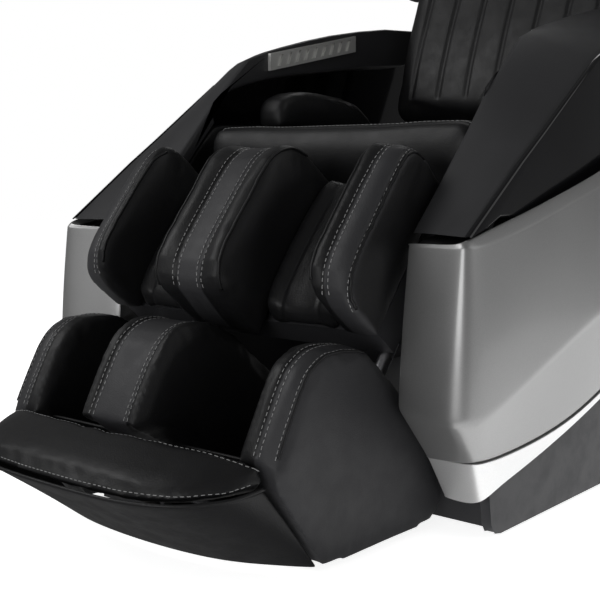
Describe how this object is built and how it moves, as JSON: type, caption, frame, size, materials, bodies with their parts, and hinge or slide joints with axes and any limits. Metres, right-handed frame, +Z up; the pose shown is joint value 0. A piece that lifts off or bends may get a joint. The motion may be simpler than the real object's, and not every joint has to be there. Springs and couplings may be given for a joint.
{
  "type": "massage chair",
  "caption": "Reclining massage chair with lifting calf and foot massager, silver side panels, gloss black arms and a tilting seat.",
  "frame": {"origin": "on the floor under the middle of the chair's bounding box", "axes": "+Z up, -Y the way the sitter faces, +X the sitter's left"},
  "size_m": [0.78, 1.4134, 1.2393],
  "materials": {
    "frame_steel": "black powder coat",
    "zinc": "zinc plated",
    "panel_silver": "gloss metallic grey lacquer",
    "trim_silver": "gloss light silver lacquer",
    "gloss_black": "piano black",
    "charcoal": "fine grain moulded",
    "black_leather": "soft grained upholstery",
    "black_fabric": "stretch lining",
    "chrome_trim": "bright plated",
    "roller_white": "nylon",
    "rubber_black": "moulded",
    "key_grey": "moulded keys"
  },
  "bodies": {
    "base": {"base_frame": "frame_steel", "base_pan": "frame_steel", "floor_feet": "rubber_black", "wheel_axles": "zinc", "tilt_brackets": "frame_steel", "power_unit": "charcoal", "air_pump": "charcoal", "base_skirt_left": "charcoal", "base_skirt_right": "charcoal", "side_panel_left": "panel_silver", "side_panel_right": "panel_silver", "side_trim_left": "trim_silver", "side_trim_right": "trim_silver"},
    "rear_wheel_left": {"wheel_left": "rubber_black"},
    "rear_wheel_right": {"wheel_right": "rubber_black"},
    "switch": {"power_switch": "key_grey"},
    "cradle": {"seat_pan": "frame_steel", "seat_cushion": "black_leather", "hip_pads": "black_leather", "control_panel": "gloss_black", "seat_plate_left": "frame_steel", "seat_plate_right": "frame_steel", "arm_cap_left": "charcoal", "arm_cap_right": "charcoal", "arm_pad_left": "black_leather", "arm_pad_right": "black_leather", "arm_shell_left": "gloss_black", "arm_shell_right": "gloss_black", "vent_grille_left": "chrome_trim", "vent_grille_right": "chrome_trim"},
    "power_button": {"power_key": "key_grey"},
    "pause_button": {"pause_key": "key_grey"},
    "leg_motor": {"leg_actuator": "charcoal"},
    "leg_screw": {"leg_rod": "zinc"},
    "back_motor": {"back_actuator": "charcoal"},
    "back_screw": {"back_rod": "zinc"},
    "backrest": {"back_frame": "frame_steel", "back_pad": "black_leather", "back_shell": "charcoal", "head_pillow": "black_leather", "shoulder_wing_left": "black_leather", "shoulder_wing_right": "black_leather"},
    "carriage": {"massage_carriage": "zinc"},
    "rollers_lower": {"massage_rollers_lower": "roller_white"},
    "rollers_upper": {"massage_rollers_upper": "roller_white"},
    "calf_unit": {"calf_tray": "frame_steel", "calf_divider": "black_leather", "calf_well_pads": "black_fabric", "calf_wall_left": "black_leather", "calf_wall_right": "black_leather"},
    "foot_unit": {"foot_rods": "zinc", "foot_wall_left": "black_leather", "foot_wall_right": "black_leather", "foot_divider": "black_leather", "foot_housing": "charcoal", "sole_plates": "black_fabric", "foot_apron": "black_leather", "toe_pad": "black_leather"},
    "sole_massager_left": {"sole_roller_left": "roller_white"},
    "sole_massager_right": {"sole_roller_right": "roller_white"}
  },
  "joints": [
    {"name": "seat_tilt", "type": "hinge", "parent": "base", "child": "cradle", "pos_m": [0, 0.15827, 0.24], "axis": [-1, 0, 0], "range_deg": [0, 12]},
    {"name": "back_recline", "type": "hinge", "parent": "cradle", "child": "backrest", "pos_m": [0, 0.31827, 0.47], "axis": [-1, 0, 0], "range_deg": [0, 35]},
    {"name": "leg_lift", "type": "hinge", "parent": "cradle", "child": "calf_unit", "pos_m": [0, -0.25273, 0.418], "axis": [-1, 0, 0], "range_deg": [0, 50]},
    {"name": "foot_extend", "type": "slide", "parent": "calf_unit", "child": "foot_unit", "axis": [0, -0.6293, -0.7771], "range_m": [0, 0.12]},
    {"name": "massage_travel", "type": "slide", "parent": "backrest", "child": "carriage", "axis": [0, 0.342, 0.9397], "range_m": [-0.09, 0.34]},
    {"name": "roller_spin_lower", "type": "hinge", "parent": "carriage", "child": "rollers_lower", "pos_m": [0, 0.35644, 0.68597], "axis": [-1, 0, 0], "continuous": true},
    {"name": "roller_spin_upper", "type": "hinge", "parent": "carriage", "child": "rollers_upper", "pos_m": [0, 0.38312, 0.75927], "axis": [-1, 0, 0], "continuous": true},
    {"name": "sole_spin_left", "type": "hinge", "parent": "foot_unit", "child": "sole_massager_left", "pos_m": [0, -0.46973, 0.039], "axis": [-1, 0, 0], "continuous": true},
    {"name": "sole_spin_right", "type": "hinge", "parent": "foot_unit", "child": "sole_massager_right", "pos_m": [0, -0.46973, 0.039], "axis": [-1, 0, 0], "continuous": true},
    {"name": "wheel_spin_left", "type": "hinge", "parent": "base", "child": "rear_wheel_left", "pos_m": [0, 0.55327, 0.034], "axis": [-1, 0, 0], "continuous": true},
    {"name": "wheel_spin_right", "type": "hinge", "parent": "base", "child": "rear_wheel_right", "pos_m": [0, 0.55327, 0.034], "axis": [-1, 0, 0], "continuous": true},
    {"name": "switch_rock", "type": "hinge", "parent": "base", "child": "switch", "pos_m": [-0.085, 0.57427, 0.114], "axis": [-1, 0, 0], "range_deg": [-8, 8]},
    {"name": "power_press", "type": "slide", "parent": "cradle", "child": "power_button", "axis": [1, 0, 0], "range_m": [0, 0.002], "stiffness_N_per_m": 600, "springref_m": -0.0006},
    {"name": "pause_press", "type": "slide", "parent": "cradle", "child": "pause_button", "axis": [1, 0, 0], "range_m": [0, 0.002], "stiffness_N_per_m": 600, "springref_m": -0.0006},
    {"name": "leg_motor_swing", "type": "hinge", "parent": "cradle", "child": "leg_motor", "pos_m": [-0.084, -0.00173, 0.33], "axis": [-1, 0, 0], "range_deg": [0, 14]},
    {"name": "leg_screw_slide", "type": "slide", "parent": "leg_motor", "child": "leg_screw", "axis": [0, -0.9875, -0.1576], "range_m": [0, 0.0935]},
    {"name": "back_motor_swing", "type": "hinge", "parent": "cradle", "child": "back_motor", "pos_m": [0.084, -0.02173, 0.256], "axis": [-1, 0, 0], "range_deg": [-11, 0]},
    {"name": "back_screw_slide", "type": "slide", "parent": "back_motor", "child": "back_screw", "axis": [0, 0.9483, 0.3175], "range_m": [-0.0425, 0]}
  ],
  "couplings": [
    {"joint": "leg_motor_swing", "follows": "leg_lift", "ratio": 0.264},
    {"joint": "leg_screw_slide", "follows": "leg_lift", "m_per_rad": 0.10445},
    {"joint": "back_motor_swing", "follows": "back_recline", "ratio": -0.293},
    {"joint": "back_screw_slide", "follows": "back_recline", "m_per_rad": -0.067363}
  ]
}
